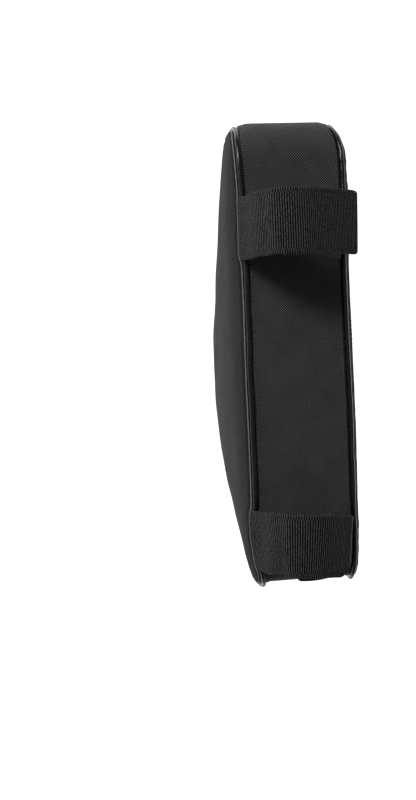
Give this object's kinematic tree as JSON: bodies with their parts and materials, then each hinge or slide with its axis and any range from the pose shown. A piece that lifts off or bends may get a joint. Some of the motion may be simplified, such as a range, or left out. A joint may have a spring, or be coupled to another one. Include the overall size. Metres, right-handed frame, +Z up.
{
  "type": "bicycle frame bag",
  "caption": "Slim wedge-shaped cloth bag with piped, domed sides that hangs under a round bar by wrapped straps.",
  "frame": {"origin": "on the axis of the round bar that the straps hold, midway between the two straps", "axes": "+Z up, +Y forward along the bar towards the bag's blunt front end, +X to the right, where the straps' free ends and the zip are"},
  "size_m": [0.0842, 0.2935, 0.1713],
  "materials": {
    "side_cloth": "smooth matte padded cloth",
    "gusset_cloth": "coarse basket weave with a slight sheen",
    "piping": "glossy coated cord cover",
    "webbing": "ribbed woven strap",
    "zip": "woven tape with coil teeth"
  },
  "bodies": {
    "root": {"gusset": "gusset_cloth", "left_panel": "side_cloth", "right_panel": "side_cloth", "left_piping": "piping", "right_piping": "piping", "zip": "zip", "front_strap_outer": "webbing", "front_strap_inner": "webbing", "rear_strap_outer": "webbing", "rear_strap_inner": "webbing"}
  },
  "joints": []
}
